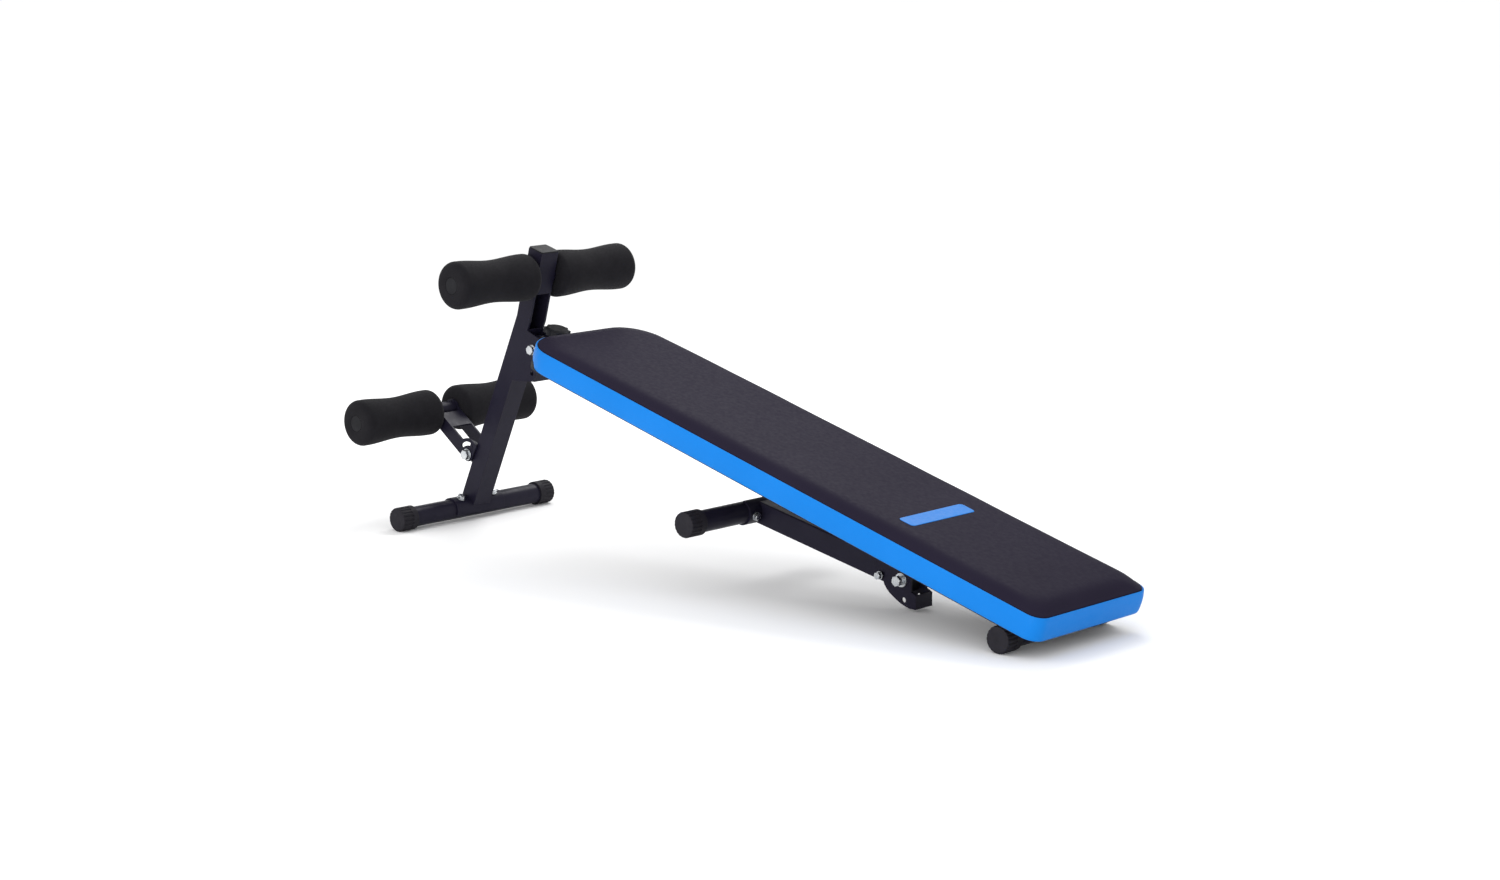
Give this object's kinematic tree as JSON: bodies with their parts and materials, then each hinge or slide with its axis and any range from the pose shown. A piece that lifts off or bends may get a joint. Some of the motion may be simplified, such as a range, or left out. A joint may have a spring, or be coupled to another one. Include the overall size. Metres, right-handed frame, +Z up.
{
  "type": "decline sit up bench",
  "caption": "Long padded board sloping down from a post with foam ankle rollers, on round cross feet, with a fold-down support leg.",
  "frame": {"origin": "on the floor, at the middle of the bench's length and width as it stands in use", "axes": "+X runs from the roller end to the low head end, +Y across the bench, +Z up"},
  "size_m": [1.3426, 0.36, 0.4516],
  "materials": {
    "black_paint": "satin",
    "zinc": "satin",
    "cap_rubber": "matte",
    "black_plastic": "satin",
    "nylon": "satin",
    "foam": "matte",
    "pad_vinyl": "satin",
    "band_vinyl": "satin",
    "board": "matte"
  },
  "bodies": {
    "frame": {"main_beam": "black_paint", "beam_plug": "black_plastic", "pad_mounts": "black_paint", "pad_board": "board", "pad_cushion": "pad_vinyl", "pad_band": "band_vinyl", "pad_screws": "zinc", "rear_bracket": "black_paint", "rear_foot_tube": "black_paint", "rear_foot_caps": "cap_rubber", "rear_saddle": "black_paint", "rear_saddle_bolts": "zinc", "rear_pivot_bolt": "zinc", "rear_pivot_nut": "zinc", "rear_pivot_washers": "zinc", "front_pivot_sleeve": "zinc"},
    "front_post": {"front_foot_tube": "black_paint", "front_foot_caps": "cap_rubber", "front_saddle": "black_paint", "front_saddle_bolts": "zinc", "post_tube": "black_paint", "post_cap": "black_plastic", "front_bracket": "black_paint", "lock_tab": "black_paint", "lock_barrel": "zinc", "fork_ears": "black_paint", "fork_stop_pin": "black_paint", "top_axle": "black_paint", "top_axle_plugs": "black_plastic", "front_pivot_bolt": "zinc", "front_pivot_nut": "zinc", "front_pivot_washers": "zinc"},
    "lock": {"lock_knob": "black_plastic", "lock_pin": "zinc", "lock_spring": "zinc"},
    "fork": {"roller_fork": "black_paint", "lower_axle": "black_paint", "lower_axle_plugs": "black_plastic", "fork_bolt": "zinc", "fork_nut": "zinc", "fork_washers": "zinc"},
    "upper_left_roller": {"foam_upper_left": "foam"},
    "upper_right_roller": {"foam_upper_right": "foam"},
    "lower_left_roller": {"foam_lower_left": "foam"},
    "lower_right_roller": {"foam_lower_right": "foam"},
    "rear_leg": {"leg_tube": "black_paint", "leg_plug": "black_plastic", "leg_sleeve": "zinc", "leg_spacers": "nylon", "leg_saddle": "black_paint", "leg_saddle_bolts": "zinc", "leg_foot_tube": "black_paint", "leg_foot_caps": "cap_rubber", "leg_stop_bolt": "zinc", "leg_stop_nut": "zinc"}
  },
  "joints": [
    {"name": "post_fold", "type": "hinge", "parent": "frame", "child": "front_post", "pos_m": [-0.3995, 0, 0.29021], "axis": [0, -1, 0], "range_deg": [0, 30]},
    {"name": "leg_swing", "type": "hinge", "parent": "frame", "child": "rear_leg", "pos_m": [0.351, 0, 0.04361], "axis": [0, -1, 0], "range_deg": [0, 88]},
    {"name": "fork_tilt", "type": "hinge", "parent": "front_post", "child": "fork", "pos_m": [-0.55095, 0, 0.1065], "axis": [0, 1, 0], "range_deg": [0, 74]},
    {"name": "lock_pull", "type": "slide", "parent": "front_post", "child": "lock", "axis": [0.2622, 0, 0.965], "range_m": [0, 0.0045], "stiffness_N_per_m": 900, "springref_m": -0.004},
    {"name": "upper_left_spin", "type": "hinge", "parent": "front_post", "child": "upper_left_roller", "pos_m": [-0.40103, 0, 0.40471], "axis": [0, 1, 0], "continuous": true},
    {"name": "upper_right_spin", "type": "hinge", "parent": "front_post", "child": "upper_right_roller", "pos_m": [-0.40103, 0, 0.40471], "axis": [0, 1, 0], "continuous": true},
    {"name": "lower_left_spin", "type": "hinge", "parent": "fork", "child": "lower_left_roller", "pos_m": [-0.6348, 0, 0.16631], "axis": [0, 1, 0], "continuous": true},
    {"name": "lower_right_spin", "type": "hinge", "parent": "fork", "child": "lower_right_roller", "pos_m": [-0.6348, 0, 0.16631], "axis": [0, 1, 0], "continuous": true}
  ]
}
